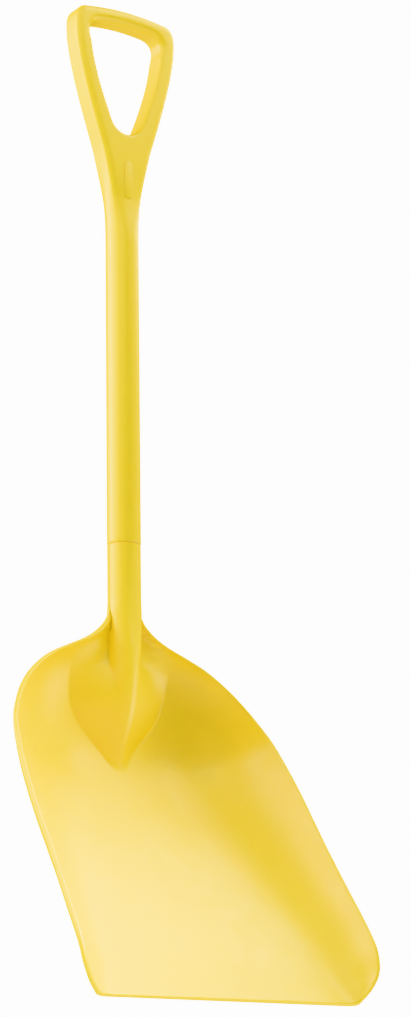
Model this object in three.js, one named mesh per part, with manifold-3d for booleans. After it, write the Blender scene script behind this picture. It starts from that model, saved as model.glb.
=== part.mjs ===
// Grain scoop shovel, upright with the D-grip at the top. Three mouldings that plug together:
// a scoop blade with its neck, a hollow oval shaft and a D-grip.
// Millimetres. +Z is up along the shaft, -Y is the hollow front of the scoop. The origin is the
// middle of the underside of the grip's cross bar, the point that a peg or a hook bears on.
import * as THREE from 'three';
import { mergeVertices } from 'three/addons/utils/BufferGeometryUtils.js';
import Module from 'manifold-3d';

const wasm = await Module();
wasm.setup();
const { Manifold, Mesh: SolidMesh } = wasm;

// ---- driving dimensions ----
const SHAFT = { halfWidth: 18.5, halfDepth: 17, top: -256, bottom: -590, bore: 5 };
const SPIGOT = { radius: 8.5, length: 38, clearance: 0.3, bottomGap: 2 };
const JOINT_GAP = 0.3;
const BLADE = {
  start: -651, // height at which the straight neck starts to open into the blade
  length: 468, // along the floor, from there to the leading edge
  bendStart: 12,
  bendFast: 19, // degrees of forward bend within the first bendLength
  bendLength: 112,
  bendSlow: 15, // degrees of forward bend spread evenly over the whole blade
  halfSheet: 2.6,
  wallAngle: 62, // slope of the side walls against the floor at their steepest, degrees
  wallRadius: 1.85, // of the arc from floor to wall, in wall heights
  dish: 8, // how far the floor rises from its middle line to its sides
  ribFadeStart: 80,
  ribFadeLength: 85,
  wedgeRiseStart: 28,
  wedgeRiseLength: 80,
};
// By distance from the start of the blade: the half-width across the rims, the heights of the
// rims, the floor and the crest of the central rib over the shaft's bent axis line, and the
// half-width of the wedge that the rib stands on. Past the rib's end the wedge has no height.
const RIM_WIDTH = [[0, 18.5], [12, 20.5], [22, 25], [32, 34.5], [42, 49], [52, 70.5], [64, 95],
  [78, 113.3], [96, 130], [122, 146], [157, 159.5], [227, 168], [332, 171.5], [417, 175],
  [444, 173], [458, 166], [468, 152.5]];
const RIM_HEIGHT = [[0, 0], [37, 1], [107, 5.4], [242, 20], [417, 33.5], [450, 24], [468, 1.5]];
const FLOOR_HEIGHT = [[0, 0], [18, -2.5], [36, -8], [58, -18], [88, -32], [120, -46.5],
  [148, -55], [172, -57], [205, -52], [250, -41], [317, -25], [378, -12], [430, -3.5], [468, 0]];
const CREST_HEIGHT = [[0, 17], [45, 17], [70, 13], [92, 4.5], [129, -23], [147, -42],
  [160, -55], [172, -66]];
const WEDGE_WIDTH = [[0, 18], [20, 26], [42, 54], [68, 62], [96, 57], [162, 9], [190, 16],
  [320, 60], [468, 60]];
const GRIP = {
  depth: 28, // front to back
  edgeRun: 9, // the outer edges fall away by edgeRise over this width, as a quarter ellipse
  edgeRise: 5,
  openingEdge: 5, // radius of the opening's edges
  halfWidth: 64.5,
  crown: 17, // thickness of the cross bar at its middle
  openingHalfWidth: 44.8,
  openingFoot: 20, // radius of the opening's rounded foot
  openingFootZ: -108.5,
};
const SECTIONS = 54; // stations along the blade
const ACROSS = 33; // points across each face of a blade section
const ROUND = 3; // points round each rim

const degrees = THREE.MathUtils.degToRad;
const smooth = (t) => THREE.MathUtils.smoothstep(t, 0, 1);

// A smooth curve through [position, value] points that never overshoots them.
function curveThrough(points) {
  const x = points.map((p) => p[0]);
  const y = points.map((p) => p[1]);
  const step = (i) => x[i + 1] - x[i];
  const slope = (i) => (y[i + 1] - y[i]) / step(i);
  const last = x.length - 1;
  const tangent = x.map((_, i) => {
    if (i === 0) return slope(0);
    if (i === last) return slope(last - 1);
    const [before, after] = [slope(i - 1), slope(i)];
    if (before * after <= 0) return 0;
    const a = (step(i - 1) + 2 * step(i)) / (3 * (step(i - 1) + step(i)));
    return before * after / (a * after + (1 - a) * before);
  });
  return (at) => {
    let i = 0;
    while (i < last - 1 && at > x[i + 1]) i += 1;
    const h = step(i);
    const t = (at - x[i]) / h;
    const rise = t * t * (3 - 2 * t);
    const ends = h * (t * (1 - t) ** 2 * tangent[i] - t * t * (1 - t) * tangent[i + 1]);
    return y[i] + (y[i + 1] - y[i]) * rise + ends;
  };
}

const rimWidth = curveThrough(RIM_WIDTH);
const rimHeight = curveThrough(RIM_HEIGHT);
const floorHeight = curveThrough(FLOOR_HEIGHT);
const crestHeight = curveThrough(CREST_HEIGHT);
const wedgeWidth = curveThrough(WEDGE_WIDTH);

// ---- solids ----
function toSolid(geometry) {
  const bare = geometry.clone();
  bare.deleteAttribute('normal');
  bare.deleteAttribute('uv');
  const merged = mergeVertices(bare, 1e-4);
  return new Manifold(new SolidMesh({
    numProp: 3,
    vertProperties: Float32Array.from(merged.attributes.position.array),
    triVerts: Uint32Array.from(merged.index.array),
  }));
}

function toGeometry(solid) {
  const mesh = solid.getMesh();
  const geometry = new THREE.BufferGeometry();
  geometry.setAttribute('position', new THREE.BufferAttribute(mesh.vertProperties, 3));
  geometry.setIndex(new THREE.BufferAttribute(mesh.triVerts, 1));
  geometry.computeVertexNormals();
  return geometry;
}

// Triangles that fill an outline, each wound the same way as the outline itself.
function flatCap(outline) {
  const faces = THREE.ShapeUtils.triangulateShape(outline, []);
  return THREE.ShapeUtils.isClockWise(outline) ? faces.map(([a, b, c]) => [a, c, b]) : faces;
}

// A closed skin through rings of points that all have the same count and run the same way
// round. The outlines give the first and last rings in their own plane, for the flat ends.
function loft(rings, firstOutline, lastOutline) {
  const count = rings[0].length;
  const index = [];
  for (let r = 0; r < rings.length - 1; r += 1) {
    for (let k = 0; k < count; k += 1) {
      const a = r * count + k;
      const b = r * count + (k + 1) % count;
      index.push(a, a + count, b, b, a + count, b + count);
    }
  }
  const base = (rings.length - 1) * count;
  for (const [a, b, c] of flatCap(firstOutline)) index.push(a, b, c);
  for (const [a, b, c] of flatCap(lastOutline)) index.push(base + a, base + c, base + b);
  const geometry = new THREE.BufferGeometry();
  const flat = rings.flat().flatMap((p) => p.toArray());
  geometry.setAttribute('position', new THREE.Float32BufferAttribute(flat, 3));
  geometry.setIndex(index);
  return toSolid(geometry);
}

function uprightCylinder(radius, bottom, top, sides = 32) {
  const geometry = new THREE.CylinderGeometry(radius, radius, top - bottom, sides);
  geometry.rotateX(Math.PI / 2);
  geometry.translate(0, 0, (top + bottom) / 2);
  return toSolid(geometry);
}

// ---- blade ----
// Height of the sheet over the floor at a plan distance from the rim: a wide arc that rises
// out of the floor and ends in a straight flared wall.
function wallProfile(distance, height) {
  const wall = degrees(BLADE.wallAngle);
  const radius = Math.max(BLADE.wallRadius * height, 14);
  const arcHeight = Math.min(radius * (1 - Math.cos(wall)), height);
  const arcWidth = radius * Math.sin(Math.acos(1 - arcHeight / radius));
  const inward = arcWidth + (height - arcHeight) / Math.tan(wall) - distance;
  if (inward <= 0) return 0;
  if (inward > arcWidth) return arcHeight + (inward - arcWidth) * Math.tan(wall);
  return radius - Math.sqrt(radius ** 2 - inward ** 2);
}

const oval = (u) => Math.sqrt(Math.max(1 - u * u, 0));

// A ridge with straight flanks and a round top, from 1 on the middle line to 0 at its foot.
function wedge(u, roundness = 0.22) {
  const top = Math.hypot(1, roundness);
  return (top - Math.hypot(Math.min(Math.abs(u), 1), roundness)) / (top - roundness);
}

// The larger of two heights, rounded off where they are alike.
function blend(a, b, sharpness = 5) {
  return (a ** sharpness + b ** sharpness) ** (1 / sharpness);
}

// Place across the sheet for q from -1 to 1: a quarter of the points on each side lie on the
// rib, a quarter on the wedge beside it, and the rest crowd together towards the rim.
function acrossSheet(q, reach, wedgeFoot) {
  const share = Math.abs(q);
  const outerKnee = Math.min(wedgeFoot, 0.8 * reach);
  const innerKnee = Math.min(SHAFT.halfWidth, 0.45 * outerKnee);
  if (share <= 0.25) return innerKnee * q / 0.25;
  const v = (share - 0.5) / 0.5;
  const onWedge = innerKnee + (outerKnee - innerKnee) * (share - 0.25) / 0.25;
  const beyond = outerKnee + (reach - outerKnee) * (0.5 * v + 0.5 * Math.sin(v * Math.PI / 2));
  return Math.sign(q) * (share <= 0.5 ? onWedge : beyond);
}

// The ring of one blade section in its own plane: x across, y towards the hollow side.
function bladeSection(s) {
  const half = 0.5 + 4 * smooth(s / 35) - (4.5 - BLADE.halfSheet) * smooth((s - 42) / 110);
  const reach = rimWidth(s) - half;
  const lean = Math.hypot(1, rimWidth(s + 0.5) - rimWidth(s - 0.5));
  const floor = floorHeight(s);
  const wedgeFoot = Math.min(wedgeWidth(s), reach);
  const fullDish = BLADE.dish * smooth((s - 150) / 120) * (1 - smooth((s - 350) / 110));
  const middle = Array.from({ length: ACROSS }, (_, i) => {
    const x = acrossSheet(-1 + 2 * i / (ACROSS - 1), reach, wedgeFoot);
    const dish = fullDish * (x / reach) ** 2;
    const height = Math.max(rimHeight(s) - floor, 0) - dish;
    return new THREE.Vector2(x, floor + dish + wallProfile((reach - Math.abs(x)) / lean, height));
  });
  const normals = middle.map((_, i) => {
    const from = middle[Math.max(i - 1, 0)];
    const to = middle[Math.min(i + 1, ACROSS - 1)];
    return new THREE.Vector2(from.y - to.y, to.x - from.x).normalize();
  });
  const round = SHAFT.halfWidth - 0.5;
  const fade = 1 - smooth((s - BLADE.ribFadeStart) / BLADE.ribFadeLength);
  const rise = smooth((s - BLADE.wedgeRiseStart) / BLADE.wedgeRiseLength);
  const ribFoot = Math.min(round * fade + 1, reach);
  const crest = Math.max(crestHeight(s) - floor - half, 0) / blend(fade, rise);
  const rib = (x) => crest * blend(fade * oval(x / ribFoot), rise * wedge(x / wedgeFoot));
  const keelHeight = Math.max(SHAFT.halfDepth - half + floor, 0) * (1 - smooth(s / 107));
  const keel = (x) => keelHeight * oval(x / Math.min(round, reach));
  const face = (side, raised) => middle.map((p, i) => (
    p.clone().addScaledVector(normals[i], side * half).add(new THREE.Vector2(0, side * raised(p.x)))));
  const rim = (i, turn) => Array.from({ length: ROUND }, (_, k) => {
    const arm = normals[i].clone().multiplyScalar(half);
    return arm.rotateAround(new THREE.Vector2(), turn * Math.PI * (k + 1) / (ROUND + 1)).add(middle[i]);
  });
  const front = face(1, rib);
  const back = face(-1, keel);
  return [...front, ...rim(ACROSS - 1, -1), ...back.reverse(), ...rim(0, 1).reverse()];
}

const bendAt = (s) => degrees(
  BLADE.bendFast * smooth((s - BLADE.bendStart) / BLADE.bendLength)
  + BLADE.bendSlow * Math.max(s - BLADE.bendStart, 0) / BLADE.length);

// Where the shaft's axis line, bent forward along the blade, has got to after a distance s.
function spineAt(s) {
  const point = new THREE.Vector3(0, 0, BLADE.start - Math.min(s, 0));
  const steps = Math.max(Math.ceil(s), 0);
  for (let k = 0; k < steps; k += 1) {
    const bend = bendAt((k + 0.5) * s / steps);
    const along = new THREE.Vector3(0, -Math.sin(bend), -Math.cos(bend));
    point.addScaledVector(along, s / steps);
  }
  return point;
}

function bladeRing(s) {
  const origin = spineAt(s);
  const bend = bendAt(s);
  const forward = new THREE.Vector3(0, -Math.cos(bend), Math.sin(bend));
  return bladeSection(Math.max(s, 0)).map(
    (p) => origin.clone().addScaledVector(forward, p.y).add(new THREE.Vector3(p.x, 0, 0)));
}

// Stations crowd together where the outline turns: at the shoulders and at the front corners.
function bladeStations() {
  const bump = (s, middle, width) => Math.exp(-(((s - middle) / width) ** 2));
  const density = (s) => 0.35 + 1.9 * bump(s, 52, 40) + 1.6 * bump(s, BLADE.length, 16);
  const steps = Array.from({ length: BLADE.length }, (_, k) => k + 0.5);
  const share = steps.reduce((sum, s) => sum + density(s), 0) / SECTIONS;
  const stations = [BLADE.start - SHAFT.bottom, 0];
  let passed = 0;
  for (const s of steps) {
    passed += density(s);
    if (passed >= share) {
      stations.push(s + 0.5);
      passed -= share;
    }
  }
  return [...stations.filter((s) => s < BLADE.length - 1), BLADE.length];
}

// The bore that takes a spigot, run out past its mouth. direction is 1 for a socket that goes
// up from its mouth and -1 for one that goes down.
function socket(mouth, direction) {
  const inner = mouth + direction * (SPIGOT.length + SPIGOT.bottomGap);
  const outer = mouth - direction * 5;
  const radius = SPIGOT.radius + SPIGOT.clearance;
  return uprightCylinder(radius, Math.min(inner, outer), Math.max(inner, outer));
}

function makeBlade() {
  const stations = bladeStations();
  const body = loft(stations.map(bladeRing), bladeSection(0), bladeSection(BLADE.length));
  return body.subtract(socket(SHAFT.bottom, -1));
}

// ---- shaft ----
function makeShaft() {
  const outline = bladeSection(0);
  const ring = (z) => outline.map((p) => new THREE.Vector3(p.x, -p.y, z));
  const tube = loft(
    [ring(SHAFT.top - JOINT_GAP), ring(SHAFT.bottom + JOINT_GAP)], outline, outline);
  const low = SHAFT.bottom - SPIGOT.length;
  const high = SHAFT.top + SPIGOT.length;
  const spigots = uprightCylinder(SPIGOT.radius, low, high);
  return tube.add(spigots).subtract(uprightCylinder(SHAFT.bore, low - 1, high + 1, 24));
}

// ---- D-grip ----
// Right-hand edge of the neck, from the shaft up to where the arms part.
const NECK_EDGE = new THREE.QuadraticBezierCurve(
  new THREE.Vector2(SHAFT.halfWidth, SHAFT.top),
  new THREE.Vector2(SHAFT.halfWidth, -184),
  new THREE.Vector2(34.5, -136),
);
const NECK_SPLIT = 0.74; // share of NECK_EDGE below which the neck rounds off into the shaft
const NECK_THICKENS = -200; // height below which the neck gets as deep as the shaft

// Draws the right-hand edge and, mirrored and reversed, the left-hand one.
function mirroredShape(rightSide) {
  const points = rightSide.getPoints(7);
  const left = points.filter((p) => p.x > 1e-6).reverse().map((p) => new THREE.Vector2(-p.x, p.y));
  return new THREE.Shape([...points, ...left]);
}

function gripOutline() {
  const w = GRIP.halfWidth;
  const side = new THREE.Path();
  side.moveTo(NECK_EDGE.v0.x, NECK_EDGE.v0.y);
  side.quadraticCurveTo(NECK_EDGE.v1.x, NECK_EDGE.v1.y, NECK_EDGE.v2.x, NECK_EDGE.v2.y);
  side.quadraticCurveTo(w, -45, w, -11);
  side.quadraticCurveTo(w + 1, 12, 49, GRIP.crown - 4);
  side.quadraticCurveTo(24, GRIP.crown, 0, GRIP.crown);
  return mirroredShape(side);
}

function gripOpening() {
  const w = GRIP.openingHalfWidth;
  const r = GRIP.openingFoot;
  const side = new THREE.Path();
  side.moveTo(0, GRIP.openingFootZ - r);
  side.absarc(0, GRIP.openingFootZ, r, -Math.PI / 2, degrees(-20), false);
  side.quadraticCurveTo(w - 3.3, -60, w - 0.3, -27);
  side.quadraticCurveTo(w + 5, -4.5, 32, -2.2);
  side.quadraticCurveTo(16, 0, 0, 0);
  return mirroredShape(side);
}

// An outline in the upright X-Z plane, pushed out towards the front from y = back.
function extrudeForward(shape, back, depth, options) {
  const geometry = new THREE.ExtrudeGeometry(shape, { depth, curveSegments: 7, ...options });
  geometry.rotateX(Math.PI / 2);
  geometry.translate(0, back, 0);
  return toSolid(geometry);
}

// A plate of this depth whose edges, at the front and at the back, are quarter ellipses.
function roundedPlate(shape, depth, run, rise) {
  return extrudeForward(shape, depth / 2 - rise, depth - 2 * rise, {
    bevelEnabled: true, bevelSegments: 4, bevelThickness: rise, bevelSize: run, bevelOffset: -run,
  });
}

// Rounded rectangle with elliptical corners, which becomes a full ellipse at the shaft.
function roundedOutline(halfWidth, halfDepth, cornerX, cornerY) {
  const corners = [[1, 1, 0], [-1, 1, 90], [-1, -1, 180], [1, -1, 270]];
  return corners.flatMap(([sx, sy, start]) => Array.from({ length: 9 }, (_, k) => {
    const angle = degrees(start + k * 10 + 5);
    return new THREE.Vector2(
      sx * (halfWidth - cornerX) + cornerX * Math.cos(angle),
      sy * (halfDepth - cornerY) + cornerY * Math.sin(angle),
    );
  }));
}

function makeNeck() {
  const outlines = [];
  const rings = [];
  for (let k = 0; k <= 8; k += 1) {
    const t = NECK_SPLIT * (1 - k / 8);
    const edge = NECK_EDGE.getPoint(t);
    const round = smooth(1 - t / NECK_SPLIT);
    const thicker = smooth((NECK_THICKENS - edge.y) / (NECK_THICKENS - SHAFT.top));
    const halfDepth = GRIP.depth / 2 + (SHAFT.halfDepth - GRIP.depth / 2) * thicker;
    const cornerX = GRIP.edgeRun + (edge.x - 0.01 - GRIP.edgeRun) * round;
    const cornerY = GRIP.edgeRise + (halfDepth - 0.01 - GRIP.edgeRise) * round;
    const outline = roundedOutline(edge.x, halfDepth, cornerX, cornerY);
    outlines.push(outline);
    rings.push(outline.map((p) => new THREE.Vector3(p.x, p.y, edge.y)));
  }
  return loft(rings, outlines[0], outlines[8]);
}

// A plain raised pad on the neck.
function gripPad() {
  const side = new THREE.Path();
  side.absarc(0, -200, 5, -Math.PI / 2, 0, false);
  side.absarc(0, -166, 5, 0, Math.PI / 2, false);
  return extrudeForward(mirroredShape(side), -8, 6.8, { bevelEnabled: false });
}

// Plate with an opening, big enough to trim the grip's own opening and round its edges.
function openingFrame() {
  const wide = 2 * GRIP.halfWidth;
  const frame = new THREE.Shape([[-wide, -wide * 2], [wide, -wide * 2], [wide, wide], [-wide, wide]]
    .map(([x, y]) => new THREE.Vector2(x, y)));
  frame.holes.push(gripOpening());
  return roundedPlate(frame, GRIP.depth + 0.02, GRIP.openingEdge, GRIP.openingEdge);
}

function makeGrip() {
  const plate = roundedPlate(gripOutline(), GRIP.depth, GRIP.edgeRun, GRIP.edgeRise);
  const arms = plate.intersect(openingFrame())
    .trimByPlane([0, 0, 1], NECK_EDGE.getPoint(NECK_SPLIT).y - 0.01);
  return arms.add(makeNeck()).add(gripPad()).subtract(socket(SHAFT.top, 1));
}

// ---- assembly ----
function part(name, solid, color, roughness) {
  const material = new THREE.MeshStandardMaterial({ color, roughness, metalness: 0 });
  const mesh = new THREE.Mesh(toGeometry(solid), material);
  mesh.name = name;
  return mesh;
}

const shovel = new THREE.Group();
shovel.name = 'grain_scoop_shovel';
shovel.add(part('blade', makeBlade(), 0xf2cf5a, 0.55));
shovel.add(part('shaft', makeShaft(), 0xf1cd55, 0.5));
shovel.add(part('d_grip', makeGrip(), 0xf3d266, 0.5));

export default shovel;
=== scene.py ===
"""Looks of a one-colour moulded plastic grain scoop shovel, hung by its D-grip.

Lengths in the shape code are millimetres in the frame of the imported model: +Z up along the
shaft, -Y the hollow front of the scoop, the origin under the middle of the grip's cross bar.
"""
import math

import bmesh
import bpy
import numpy as np
from mathutils import Matrix, Vector


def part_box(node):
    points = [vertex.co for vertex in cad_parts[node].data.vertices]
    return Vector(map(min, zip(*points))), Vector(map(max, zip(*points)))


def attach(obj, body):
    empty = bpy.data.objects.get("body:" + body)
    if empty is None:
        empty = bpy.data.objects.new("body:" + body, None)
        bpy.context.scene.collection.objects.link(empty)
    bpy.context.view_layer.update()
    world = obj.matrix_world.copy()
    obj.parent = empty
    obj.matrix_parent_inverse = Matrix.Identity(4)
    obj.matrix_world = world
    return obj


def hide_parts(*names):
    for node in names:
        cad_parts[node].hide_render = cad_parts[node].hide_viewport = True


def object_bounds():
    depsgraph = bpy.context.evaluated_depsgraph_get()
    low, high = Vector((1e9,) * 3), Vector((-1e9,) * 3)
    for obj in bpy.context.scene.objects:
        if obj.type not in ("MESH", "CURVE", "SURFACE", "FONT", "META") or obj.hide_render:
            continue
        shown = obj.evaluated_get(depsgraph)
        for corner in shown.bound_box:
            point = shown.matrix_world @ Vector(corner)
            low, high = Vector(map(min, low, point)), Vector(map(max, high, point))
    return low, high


MM = 0.001

# ---- shaft: an oval bar down to the joint, and the blade's own neck below it ----
SHAFT_HALF_WIDTH = 18.5
SHAFT_HALF_DEPTH = 17.0
JOINT_Z = -590.0
NECK_END_Z = -651.0
JOINT_CHAMFER = 0.006

# ---- blade: distances s run along the floor from the end of the straight neck ----
BLADE_LENGTH = 468.0
HALF_SHEET = 2.6
HALF_SHOULDER_SHEET = 4.5
LIP_RADIUS = 1
WALL_ANGLE = math.radians(62)
WALL_RADIUS_OVER_HEIGHT = 1.85
SMALLEST_WALL_RADIUS = 14.0
DISH = 8.0
BEND_START, BEND_LENGTH = 12, 112
FAST_BEND, SLOW_BEND = 19, 15
RIB_HALF_WIDTH = SHAFT_HALF_WIDTH - 0.5
RIB_FADE_START, RIB_FADE_LENGTH = 80, 85
WEDGE_RISE_START, WEDGE_RISE_LENGTH = 28, 80
KEEL_LENGTH = 107
POINTS_ACROSS = 201
RIM_WIDTH = [(0, 18.5), (12, 20.5), (22, 25), (32, 34.5), (42, 49), (52, 70.5), (64, 95),
             (78, 113.3), (96, 130), (122, 146), (157, 159.5), (227, 168), (332, 171.5),
             (417, 175), (444, 173), (458, 166), (468, 152.5)]
RIM_HEIGHT = [(0, 0), (37, 1), (107, 5.4), (242, 20), (417, 33.5), (450, 24), (468, 1.5)]
FLOOR_HEIGHT = [(0, 0), (18, -2.5), (36, -8), (58, -18), (88, -32), (120, -46.5), (148, -55),
                (172, -57), (205, -52), (250, -41), (317, -25), (378, -12), (430, -3.5), (468, 0)]
CREST_HEIGHT = [(0, 17), (45, 17), (70, 13), (92, 4.5), (129, -23), (147, -42), (160, -55),
                (172, -66)]
WEDGE_WIDTH = [(0, 18), (20, 26), (42, 54), (68, 62), (96, 57), (162, 9), (190, 16), (320, 60),
               (468, 60)]

# ---- grip: a plate with a rounded outline and opening, and the neck that joins it to the shaft ----
GRIP_HALF_DEPTH = 14.0
GRIP_HALF_WIDTH = 64.5
CROWN = 17.0
GRIP_EDGE_RUN, GRIP_EDGE_RISE = 9.0, 5.0
ARM_FOOT = (34.5, -136)
OPENING_HALF_WIDTH = 44.8
OPENING_FOOT_Z = -108.5
OPENING_FOOT_RADIUS = 20.0
OPENING_EDGE = 4.5
BAR_EDGE = 8.0
BAR_BLEND_Z, BAR_BLEND_LENGTH = -34, 26
NECK_TOP_Z = -156.0
NECK_THICKENS_Z = -200
NECK_BOTTOM_Z = -256.0
PAD_RADIUS = 5
PAD_TOP_Z, PAD_BOTTOM_Z = -166.0, -200.0
PAD_ROOT_Y, PAD_EDGE_Y = -13, -14.2
PAD_EDGE = 0.6


def smooth(t):
    """An even step from 0 to 1 as t goes from 0 to 1."""
    t = np.clip(t, 0.0, 1.0)
    return t * t * (3 - 2 * t)


def curve_through(points, blur):
    """A curve through (position, value) points that never overshoots them, then blurred."""
    x, y = np.array(points, float).T
    step, slope = np.diff(x), np.diff(y) / np.diff(x)
    tangent = np.concatenate([slope[:1], np.zeros(len(x) - 2), slope[-1:]])
    for i in range(1, len(x) - 1):
        before, after = slope[i - 1], slope[i]
        if before * after > 0:
            a = (step[i - 1] + 2 * step[i]) / (3 * (step[i - 1] + step[i]))
            tangent[i] = before * after / (a * after + (1 - a) * before)
    at = np.arange(x[0], x[-1] + 0.25, 0.5)
    i = np.clip(np.searchsorted(x, at, "right") - 1, 0, len(x) - 2)
    h, t = step[i], (at - x[i]) / step[i]
    value = y[i] + (y[i + 1] - y[i]) * t * t * (3 - 2 * t)
    value += h * (t * (1 - t) ** 2 * tangent[i] - t * t * (1 - t) * tangent[i + 1])
    pad = int(blur * 8)
    run = np.arange(1, pad + 1) * 0.5
    low = value[0] - tangent[0] * run[::-1]
    high = value[-1] + tangent[-1] * run
    kernel = np.exp(-0.5 * (np.arange(-pad, pad + 1) * 0.5 / blur) ** 2)
    value = np.convolve(np.concatenate([low, value, high]), kernel / kernel.sum(), "valid")
    return lambda s: np.interp(s, at, value)


rim_width = curve_through(RIM_WIDTH, 2.5)
rim_height = curve_through(RIM_HEIGHT, 6.0)
floor_height = curve_through(FLOOR_HEIGHT, 8.0)
crest_height = curve_through(CREST_HEIGHT, 5.0)
wedge_width = curve_through(WEDGE_WIDTH, 3.0)


def wall_profile(distance, height):
    """Height of the sheet over the floor at a plan distance from the rim."""
    radius = np.maximum(WALL_RADIUS_OVER_HEIGHT * height, SMALLEST_WALL_RADIUS)
    arc_height = np.minimum(radius * (1 - math.cos(WALL_ANGLE)), height)
    arc_width = radius * np.sin(np.arccos(1 - arc_height / radius))
    inward = arc_width + (height - arc_height) / math.tan(WALL_ANGLE) - distance
    arc = radius - np.sqrt(np.maximum(radius**2 - np.clip(inward, 0, arc_width) ** 2, 0))
    straight = arc_height + (inward - arc_width) * math.tan(WALL_ANGLE)
    return np.where(inward > arc_width, straight, arc)


def bend_at(s):
    """How far the blade has bent forward from the shaft's axis at distances s."""
    fast = FAST_BEND * smooth((s - BEND_START) / BEND_LENGTH)
    slow = SLOW_BEND * np.maximum(s - BEND_START, 0) / BLADE_LENGTH
    return np.radians(fast + slow)


def spine(s):
    """(y, z) of the shaft's axis line, bent forward along the blade, at distances s."""
    fine = np.linspace(0, BLADE_LENGTH, 4681)
    bend = bend_at((fine[1:] + fine[:-1]) / 2)
    y = np.concatenate([[0], np.cumsum(-np.sin(bend) * np.diff(fine))])
    z = NECK_END_Z + np.concatenate([[0], np.cumsum(-np.cos(bend) * np.diff(fine))])
    return np.interp(s, fine, y), np.interp(s, fine, z) - np.minimum(s, 0)


def blade_stations():
    """Distances of the rings: close at the shoulders, the front corners and both ends."""
    s = np.linspace(0, BLADE_LENGTH, 4681)
    density = 0.35 + 1.2 * np.exp(-(((s - 52) / 45) ** 2)) + 1.5 * np.exp(-(((s - 468) / 16) ** 2))
    share = np.concatenate([[0], np.cumsum((density[1:] + density[:-1]) / 2)])
    inner = np.interp(np.linspace(0, share[-1], 261), share, s)
    inner = inner[inner < BLADE_LENGTH - 1.2]
    edge = BLADE_LENGTH - 1 + np.sin(np.linspace(0, math.pi / 2, 5))
    neck = np.concatenate([[-61, -60.9, -60.7, -60], np.linspace(-58, -2, 24)])
    return np.concatenate([neck, inner, edge])


def sheet_half_thickness(s):
    rounded = (HALF_SHOULDER_SHEET - HALF_SHEET) * smooth((s - 42) / 110)
    return 0.5 + 4 * smooth(s / 35) - rounded


def floor_dish(s, share):
    """How far the floor rises sideways, at this share of the way to the rim."""
    return DISH * smooth((s - 150) / 120) * (1 - smooth((s - 350) / 110)) * share**2


def rib_over_sheet(s, x, crest, reach, wedge_foot):
    """The rib and the wedge it runs out into, over the front of the sheet."""
    fade = 1 - smooth((s - RIB_FADE_START) / RIB_FADE_LENGTH)
    rise = smooth((s - WEDGE_RISE_START) / WEDGE_RISE_LENGTH)
    rib_foot = np.minimum(RIB_HALF_WIDTH * fade + 1, reach)
    ridge = blend(fade * oval(x / rib_foot), rise * wedge(x / wedge_foot))
    return crest * ridge / blend(fade, rise)


def rolled_rim(x, y, nx, ny, half, angles):
    """A round lip about one end of each ring's middle line, turned by these angles."""
    c, d = np.cos(angles), np.sin(angles)
    return np.stack([x + half * (nx * c - ny * d), y + half * (nx * d + ny * c)], -1)


def blade_rings(across, round_steps=8):
    """Rings of the blade's skin as an array of shape (rings, points, 3)."""
    along = blade_stations()
    s = np.maximum(along, 0)[:, None]
    half = sheet_half_thickness(s)
    past_lip = np.maximum(s - BLADE_LENGTH + LIP_RADIUS, 0)
    reach = rim_width(s) - half
    half = half + (np.sqrt(np.maximum(1 - past_lip**2, 0)) - 1)
    lean = np.hypot(1, rim_width(s + 0.5) - rim_width(s - 0.5))
    floor = floor_height(s)
    height = np.maximum(rim_height(s) - floor, 0)
    wedge_foot = np.minimum(wedge_width(s), reach)
    x = across_sheet(across, reach, wedge_foot)
    dish = floor_dish(s, x / reach)
    y = floor + dish + wall_profile((reach - np.abs(x)) / lean, height - dish)
    dx, dy = np.gradient(x, axis=1), np.gradient(y, axis=1)
    length = np.hypot(dx, dy)
    nx, ny = -dy / length, dx / length
    crest = np.maximum(crest_height(s) - floor - half, 0)
    rib = rib_over_sheet(s, x, crest, reach, wedge_foot)
    keel_height = np.maximum(SHAFT_HALF_DEPTH - half + floor, 0) * (1 - smooth(s / KEEL_LENGTH))
    keel = keel_height * oval(x / np.minimum(RIB_HALF_WIDTH, reach))
    front = np.stack([x + nx * half, y + ny * half + rib], -1)
    back = np.stack([x - nx * half, y - ny * half - keel], -1)
    turn = np.pi * np.arange(1, round_steps) / round_steps
    right, left = (
        rolled_rim(*(v[:, i, None] for v in (x, y, nx, ny)), half, angles)
        for i, angles in ((-1, -turn), (0, turn[::-1])))
    ring = np.concatenate([front, right, back[:, ::-1], left], 1)
    return bent(along, ring)


def bent(along, ring):
    """The rings stood across the bent spine, with a fine chamfer at the joint with the shaft."""
    bend = bend_at(along)[:, None]
    sy, sz = (v[:, None] for v in spine(along))
    chamfer = 1 - JOINT_CHAMFER * np.clip((-60.7 - along) / 0.3, 0, 1)[:, None]
    px = ring[..., 0] * chamfer
    py = ring[..., 1] * chamfer
    return np.stack([px, sy - np.cos(bend) * py, sz + np.sin(bend) * py], -1)


def across_sheet(across, reach, wedge_foot):
    """Places across the sheet, some on the feet of the rib and the wedge, close at the rims."""
    q = np.abs(np.linspace(-1, 1, across))[None, :]
    outer_knee = np.minimum(wedge_foot, 0.8 * reach)
    inner_knee = np.minimum(SHAFT_HALF_WIDTH, 0.45 * outer_knee)
    v = np.clip((q - 0.5) / 0.5, 0, 1)
    outer = outer_knee + (reach - outer_knee) * (0.5 * v + 0.5 * np.sin(v * math.pi / 2))
    middle = inner_knee + (outer_knee - inner_knee) * (q - 0.25) / 0.25
    half = np.where(q > 0.5, outer, np.where(q > 0.25, middle, inner_knee * q / 0.25))
    return half * np.sign(np.linspace(-1, 1, across))[None, :]


def oval(u):
    """A half ellipse, from 1 on the middle line to 0 at its foot."""
    return np.sqrt(np.maximum(1 - u * u, 0))


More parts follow.
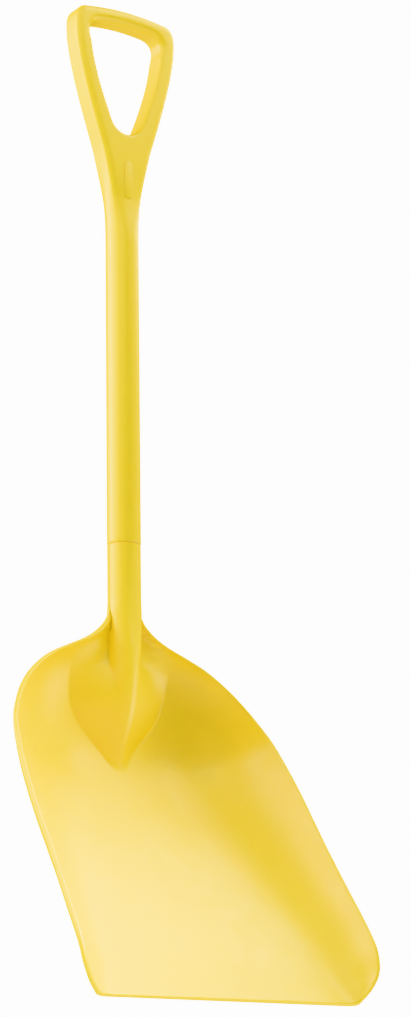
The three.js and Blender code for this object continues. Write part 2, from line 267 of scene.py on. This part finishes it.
def wedge(u, roundness=0.22):
    """A ridge with straight flanks and a round top, from 1 on the middle line to 0 at its foot."""
    u = np.minimum(np.abs(u), 1)
    top = math.hypot(1, roundness)
    return (top - np.hypot(u, roundness)) / (top - roundness)


def blend(a, b, sharpness=5):
    """The larger of two heights, rounded off where they are alike."""
    return (a**sharpness + b**sharpness) ** (1 / sharpness)


def ring_mesh(rings, across):
    """Vertices and faces of the closed skin through the blade's rings."""
    count, points = rings.shape[:2]
    r, k = np.meshgrid(np.arange(count - 1), np.arange(points), indexing="ij")
    a, b = r * points + k, r * points + (k + 1) % points
    faces = np.stack([a, a + points, b + points, b], -1).reshape(-1, 4).tolist()
    partner = 2 * across + (points - 2 * across) // 2 - 1
    for base in (0, (count - 1) * points):
        faces += [[base + i, base + i + 1, base + partner - i - 1, base + partner - i]
                  for i in range(across - 1)]
        faces.append([base + i for i in range(across - 1, partner - across + 2)])
        faces.append([base + i % points for i in range(partner, points + 1)])
    return rings.reshape(-1, 3), faces


# ---- handle: an implicit surface for the oval shaft, the neck and the D-grip ----
def bezier(a, b, c, n=28):
    """Points along the curve from a to c that leaves and arrives along the lines through b."""
    t = np.linspace(0, 1, n)[:, None]
    a, b, c = (np.array(p, float) for p in (a, b, c))
    return (1 - t) ** 2 * a + 2 * t * (1 - t) * b + t * t * c


def mirrored(right):
    """A closed outline from its right-hand half, listed from bottom to top."""
    right = np.concatenate(right)
    return np.concatenate([right, (right * [-1, 1])[::-1]])


def neck_edge():
    """The right-hand outline of the neck, from the shaft up to the foot of the grip's arm."""
    return bezier((SHAFT_HALF_WIDTH, NECK_BOTTOM_Z), (SHAFT_HALF_WIDTH, -184), ARM_FOOT)


def grip_outline():
    w = GRIP_HALF_WIDTH
    return mirrored([
        [[0, -700], [SHAFT_HALF_WIDTH, -700]],
        neck_edge(),
        bezier(ARM_FOOT, (w, -45), (w, -11)),
        bezier((w, -11), (w + 1, 12), (49, CROWN - 4)),
        bezier((49, CROWN - 4), (24, CROWN), (0, CROWN)),
    ])


def grip_opening():
    w, r = OPENING_HALF_WIDTH, OPENING_FOOT_RADIUS
    turn = np.radians(np.linspace(-90, -20, 16))
    arc = np.stack([r * np.cos(turn), OPENING_FOOT_Z + r * np.sin(turn)], 1)
    return mirrored([
        arc,
        bezier(arc[-1], (w - 3.3, -60), (w - 0.3, -27)),
        bezier((w - 0.3, -27), (w + 5, -4.5), (32, -2.2)),
        bezier((32, -2.2), (16, 0), (0, 0)),
    ])


def depth_inside(x, z, outline):
    """Distance to an outline in the X-Z plane: positive inside it, negative outside."""
    a, b = outline, np.roll(outline, -1, 0)
    keep = np.hypot(*(b - a).T) > 1e-6
    best = np.full(x.shape, np.inf)
    inside = np.zeros(x.shape, bool)
    for (ax, az), (bx, bz) in zip(a[keep], b[keep]):
        ex, ez = bx - ax, bz - az
        t = np.clip(((x - ax) * ex + (z - az) * ez) / (ex * ex + ez * ez), 0, 1)
        best = np.minimum(best, (x - ax - t * ex) ** 2 + (z - az - t * ez) ** 2)
        if ez:
            crossed = ((az > z) != (bz > z)) & (x < ax + (z - az) * ex / ez)
            inside ^= crossed
    return np.where(inside, 1.0, -1.0) * np.sqrt(best)


OUTLINE = grip_outline()
OPENING = grip_opening()
NECK_EDGE = neck_edge()


def rounded_edge(inward, outward, run, rise):
    """Below 0 inside a slab edge that is rounded along an ellipse of run by rise."""
    u = np.maximum(run - inward, 0) / run
    v = np.maximum(outward + rise, 0) / rise
    flat = np.maximum((run - inward) / run, (outward + rise) / rise)
    return (np.where((u > 0) | (v > 0), np.hypot(u, v), np.minimum(flat, 0)) - 1) * rise


def handle_field(x, y, z, outer=None, inner=None):
    """Below 0 inside the handle. outer and inner are known distances to the two outlines."""
    outer = depth_inside(x, z, OUTLINE) if outer is None else outer
    inner = -depth_inside(x, z, OPENING) if inner is None else inner
    thickened = smooth((NECK_THICKENS_Z - z) / (NECK_THICKENS_Z - NECK_BOTTOM_Z))
    half_depth = GRIP_HALF_DEPTH + (SHAFT_HALF_DEPTH - GRIP_HALF_DEPTH) * thickened
    beyond = np.abs(y) - half_depth
    shell = rounded_edge(outer, beyond, GRIP_EDGE_RUN, GRIP_EDGE_RISE)
    bar = smooth((z - BAR_BLEND_Z) / BAR_BLEND_LENGTH)
    radius = OPENING_EDGE + (BAR_EDGE - OPENING_EDGE) * bar
    hole = rounded_edge(inner, beyond, radius, radius)
    plate = np.maximum(shell, hole)
    half_width = np.interp(z, NECK_EDGE[:, 1], NECK_EDGE[:, 0])
    rod = (np.hypot(x / half_width, y / half_depth) - 1) * SHAFT_HALF_DEPTH
    share = smooth((NECK_TOP_Z - z) / (NECK_TOP_Z - NECK_BOTTOM_Z))
    body = (1 - share) * plate + share * rod
    return np.maximum(body, JOINT_Z + 0.06 - z)


def pad_mesh(levels=6, turns=24):
    """Vertices and faces of the plain raised pad on the neck, with a rounded front edge."""
    angle = np.radians(np.arange(turns) * 360 / turns + 180 / turns)
    centre_z = np.where(np.sin(angle) > 0, PAD_TOP_Z, PAD_BOTTOM_Z)
    rings = []
    for k in range(levels):
        turn = math.pi / 2 * max(k - 1, 0) / (levels - 2)
        radius = PAD_RADIUS - PAD_EDGE * (1 - math.cos(turn))
        y = PAD_ROOT_Y if k == 0 else PAD_EDGE_Y - PAD_EDGE * math.sin(turn)
        rings.append(np.stack([radius * np.cos(angle), np.full(turns, y),
                               centre_z + radius * np.sin(angle)], 1))
    faces = [[k * turns + i, k * turns + (i + 1) % turns, (k + 1) * turns + (i + 1) % turns,
              (k + 1) * turns + i] for k in range(levels - 1) for i in range(turns)]
    faces.append(list(range(turns)))
    faces.append([(levels - 1) * turns + i for i in range(turns)][::-1])
    return np.concatenate(rings), faces


def handle_grid():
    """Grid lines in millimetres, about one apart over the grip and wider down the shaft."""
    x = np.linspace(-66.5, 66.5, 134)
    y = np.linspace(-18.5, 18.5, 38)
    shaft = np.linspace(JOINT_Z - 2, -262, 60)
    z = np.concatenate([shaft, np.arange(-261.0, 19.0, 1.0)])
    return x, y, z


def handle_mesh():
    """Vertices and faces of the handle's skin, by surface nets on a grid."""
    x, y, z = handle_grid()
    flat_x, flat_z = np.meshgrid(x, z, indexing="ij")
    outer = depth_inside(flat_x, flat_z, OUTLINE)[:, None, :]
    inner = -depth_inside(flat_x, flat_z, OPENING)[:, None, :]
    gx, gy, gz = np.meshgrid(x, y, z, indexing="ij")
    field = handle_field(gx, gy, gz, outer, inner)
    points, faces = surface_net(field, (x, y, z))
    for _ in range(4):
        points = drawn_to_surface(points)
    return points, faces


def cells_beside(index, axis, corners):
    """The cells at these corners beside each crossed grid edge that runs along an axis."""
    first, second = [d for d in range(3) if d != axis]
    for i, j in corners:
        cell = index.copy()
        cell[:, first] -= i
        cell[:, second] -= j
        yield tuple(cell.T)


def crossed_edges(field, axes, axis):
    """Grid edges along an axis that the surface crosses: index, crossing, starts inside."""
    low, high = [slice(None)] * 3, [slice(None)] * 3
    low[axis], high[axis] = slice(None, -1), slice(1, None)
    a, b = field[tuple(low)], field[tuple(high)]
    crossed = (a < 0) != (b < 0)
    share = np.where(crossed, a / np.where(crossed, a - b, 1), 0)
    index = np.argwhere(crossed)
    place = np.stack([axes[d][index[:, d]] for d in range(3)], 1)
    place[:, axis] += share[crossed] * np.diff(axes[axis])[index[:, axis]]
    return index, place, (a < 0)[crossed]


def surface_net(field, axes):
    """One point in each cell that the surface crosses, and one quad for each crossed edge."""
    cells = tuple(n - 1 for n in field.shape)
    total, hits = np.zeros((*cells, 3)), np.zeros(cells)
    crossings = [crossed_edges(field, axes, axis) for axis in range(3)]
    for axis, (index, place, _) in enumerate(crossings):
        for cell in cells_beside(index, axis, ((0, 0), (0, 1), (1, 0), (1, 1))):
            np.add.at(total, cell, place)
            np.add.at(hits, cell, 1)
    number = np.full(cells, -1)
    used = hits > 0
    number[used] = np.arange(used.sum())
    points = total[used] / hits[used][:, None]
    faces = []
    for axis, (index, _, from_inside) in enumerate(crossings):
        ring = cells_beside(index, axis, ((1, 1), (0, 1), (0, 0), (1, 0)))
        quads = np.stack([number[cell] for cell in ring], 1)
        turned = from_inside if axis != 1 else ~from_inside
        quads[~turned] = quads[~turned][:, ::-1]
        faces.append(quads)
    return points, np.concatenate(faces)


def drawn_to_surface(points):
    """One Newton step of each point towards the handle's surface, along its gradient."""
    x, y, z = points.T
    here = handle_field(x, y, z)
    h = 0.05
    slope = np.stack([
        handle_field(x + h, y, z) - here,
        handle_field(x, y + h, z) - here,
        handle_field(x, y, z + h) - here,
    ], 1) / h
    step = here / np.maximum((slope**2).sum(1), 0.04)
    return points - np.clip(step, -0.6, 0.6)[:, None] * slope


# ---- Blender objects ----
def add_mesh(name, points, faces, material):
    """A smooth-shaded object from points in millimetres."""
    mesh = bpy.data.meshes.new(name)
    mesh.from_pydata((np.asarray(points) * MM).tolist(), [], [list(f) for f in faces])
    mesh.validate()
    tidy = bmesh.new()
    tidy.from_mesh(mesh)
    bmesh.ops.recalc_face_normals(tidy, faces=tidy.faces)
    tidy.to_mesh(mesh)
    tidy.free()
    mesh.polygons.foreach_set("use_smooth", np.ones(len(mesh.polygons), bool))
    mesh.materials.append(material)
    obj = bpy.data.objects.new(name, mesh)
    bpy.context.scene.collection.objects.link(obj)
    return obj


def fitted(points, low, high):
    """Points moved by a hair's breadth so that they end at this box, in millimetres."""
    points = np.array(points, float)
    start, end = points.min(0), points.max(0)
    return low + (points - start) * (high - low) / (end - start)


def box_mm(node):
    low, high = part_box(node)
    return np.array(low) / MM, np.array(high) / MM


def plastic(name, colour, deep, roughness):
    """Moulded plastic: faint clouds between two tones, an uneven sheen and a fine grain."""
    material = bpy.data.materials.new(name)
    material.use_nodes = True
    nodes, links = material.node_tree.nodes, material.node_tree.links
    shader = nodes["Principled BSDF"]
    shader.inputs["Specular IOR Level"].default_value = 0.9
    shader.inputs["IOR"].default_value = 1.49
    coordinate = nodes.new("ShaderNodeTexCoord")

    def noise(scale, detail, rough=0.5):
        node = nodes.new("ShaderNodeTexNoise")
        node.inputs["Scale"].default_value = scale
        node.inputs["Detail"].default_value = detail
        node.inputs["Roughness"].default_value = rough
        links.new(coordinate.outputs["Object"], node.inputs["Vector"])
        return node

    def ramp(source, stops):
        node = nodes.new("ShaderNodeValToRGB")
        for element, (place, value) in zip(node.color_ramp.elements, stops):
            element.position = place
            element.color = (*value, 1)
        links.new(source, node.inputs["Fac"])
        return node

    clouds = noise(5.0, 2.0)
    tone = ramp(clouds.outputs["Fac"], [(0.2, deep), (0.8, colour)])
    links.new(tone.outputs["Color"], shader.inputs["Base Color"])
    sheen = ramp(noise(60.0, 4.0).outputs["Fac"],
                 [(0.3, (roughness - 0.05,) * 3), (0.7, (roughness + 0.05,) * 3)])
    links.new(sheen.outputs["Color"], shader.inputs["Roughness"])
    bump = nodes.new("ShaderNodeBump")
    bump.inputs["Strength"].default_value = 0.12
    bump.inputs["Distance"].default_value = 0.0004
    links.new(noise(900.0, 2.0, 0.6).outputs["Fac"], bump.inputs["Height"])
    links.new(bump.outputs["Normal"], shader.inputs["Normal"])
    return material


def area_light(name, azimuth, elevation, distance, size, power, target=None, spread=180):
    """A square soft light out at this azimuth and elevation, facing its target."""
    data = bpy.data.lights.new(name, "AREA")
    data.shape = "RECTANGLE"
    data.size = data.size_y = size
    data.energy = power
    data.spread = math.radians(spread)
    light = bpy.data.objects.new(name, data)
    a, e = math.radians(azimuth), math.radians(elevation)
    out = Vector((math.sin(a) * math.cos(e), -math.cos(a) * math.cos(e), math.sin(e)))
    light.location = (CENTRE if target is None else Vector(target)) + out * distance
    light.rotation_mode = "QUATERNION"
    light.rotation_quaternion = out.to_track_quat("Z", "Y")
    bpy.context.scene.collection.objects.link(light)


def add_camera():
    """A camera low at the front left, looking up, placed by the origin's offset in its axes."""
    data = bpy.data.cameras.new("camera")
    data.lens, data.sensor_width, data.sensor_fit = FOCAL_LENGTH, 36, "AUTO"
    data.clip_start, data.clip_end = 0.05, 60
    camera = bpy.data.objects.new("camera", data)
    a, p, r = (math.radians(v) for v in PAN_PITCH_ROLL)
    forward = Vector((-math.sin(a) * math.cos(p), math.cos(a) * math.cos(p), math.sin(p)))
    level = Vector((math.cos(a), math.sin(a), 0))
    down = forward.cross(level)
    right = level * math.cos(r) + down * math.sin(r)
    down = down * math.cos(r) - level * math.sin(r)
    turn = Matrix((right, -down, -forward)).transposed()
    to_right, to_bottom, away = ORIGIN_IN_CAMERA
    offset = right * to_right + down * to_bottom + forward * away
    camera.location = -offset - Vector((0, 0, CAMERA_DROP))
    camera.rotation_mode = "QUATERNION"
    camera.rotation_quaternion = turn.to_quaternion()
    bpy.context.scene.collection.objects.link(camera)
    bpy.context.scene.camera = camera


def add_floor(material):
    size = FLOOR_HALF_SIZE
    corners = [(-size, -size, 0), (size, -size, 0), (size, size, 0), (-size, size, 0)]
    mesh = bpy.data.meshes.new("floor")
    mesh.from_pydata(corners, [], [(0, 1, 2, 3)])
    mesh.materials.append(material)
    floor = bpy.data.objects.new("floor", mesh)
    floor.location = (0, 0, FLOOR_Z)
    bpy.context.scene.collection.objects.link(floor)


def pale_surface():
    material = bpy.data.materials.new("pale_floor")
    material.use_nodes = True
    shader = material.node_tree.nodes["Principled BSDF"]
    shader.inputs["Base Color"].default_value = (0.86, 0.86, 0.86, 1)
    shader.inputs["Roughness"].default_value = 0.8
    return material


def set_world(ambient):
    """White behind the object, and an even fill light of this strength."""
    world = bpy.data.worlds.new("studio")
    bpy.context.scene.world = world
    world.use_nodes = True
    nodes, links = world.node_tree.nodes, world.node_tree.links
    seen = nodes["Background"]
    seen.inputs["Color"].default_value = (1, 1, 1, 1)
    seen.inputs["Strength"].default_value = BACKDROP_STRENGTH
    lit = nodes.new("ShaderNodeBackground")
    lit.inputs["Color"].default_value = (1, 1, 1, 1)
    lit.inputs["Strength"].default_value = ambient
    path = nodes.new("ShaderNodeLightPath")
    mix = nodes.new("ShaderNodeMixShader")
    links.new(path.outputs["Is Camera Ray"], mix.inputs["Fac"])
    links.new(lit.outputs["Background"], mix.inputs[1])
    links.new(seen.outputs["Background"], mix.inputs[2])
    links.new(mix.outputs["Shader"], nodes["World Output"].inputs["Surface"])


# ---- the scene, in metres ----
FOCAL_LENGTH = 95.575
PAN_PITCH_ROLL = (-34.541, 14.857, 0.836)
ORIGIN_IN_CAMERA = (-0.093464, -0.527691, 2.99025)
CAMERA_DROP = 0.003
FLOOR_Z = -1.5
FLOOR_HALF_SIZE = 14.0
BACKDROP_STRENGTH = 4.0

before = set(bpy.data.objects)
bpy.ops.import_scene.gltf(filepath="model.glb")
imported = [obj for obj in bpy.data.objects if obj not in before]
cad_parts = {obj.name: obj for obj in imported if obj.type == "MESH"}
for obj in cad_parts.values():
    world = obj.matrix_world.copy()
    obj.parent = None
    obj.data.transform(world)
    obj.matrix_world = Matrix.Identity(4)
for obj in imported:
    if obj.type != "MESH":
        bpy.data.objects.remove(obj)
cad_low, cad_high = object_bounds()
CENTRE = (cad_low + cad_high) / 2

yellow = plastic("yellow_plastic", (0.92, 0.682, 0.034), (0.915, 0.672, 0.031), 0.41)
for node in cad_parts.values():
    node.data.materials.clear()
    node.data.materials.append(yellow)

blade_points, blade_faces = ring_mesh(blade_rings(POINTS_ACROSS), POINTS_ACROSS)
blade = add_mesh("blade_skin", fitted(blade_points, *box_mm("blade")), blade_faces, yellow)
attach(blade, "root")
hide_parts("blade")

handle_points, handle_faces = handle_mesh()
handle = add_mesh("handle_skin", handle_points, handle_faces, yellow)
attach(handle, "root")
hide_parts("shaft", "d_grip")

pad = add_mesh("neck_pad", *pad_mesh(), yellow)
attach(pad, "root")

add_camera()
add_floor(pale_surface())
set_world(0.2)
area_light("right_softbox", 100, 43, 2.5, 1.4, 46)
area_light("front_right_softbox", 44, 52, 2.5, 1.4, 22)
area_light("front_left_softbox", -25, 40, 2.5, 1.2, 11)
area_light("left_softbox", -85, 32, 2.5, 1.6, 33)
area_light("back_left_softbox", -122, 22, 2.5, 1.5, 68)
area_light("low_right_softbox", 62, -12, 2.5, 1.2, 19)
area_light("blade_softbox", 40, 36, 1.0, 0.35, 2.4, (-0.34, -0.14, -1.04), 42)
view = bpy.context.scene.view_settings
view.view_transform = "Khronos PBR Neutral"
view.look = "None"
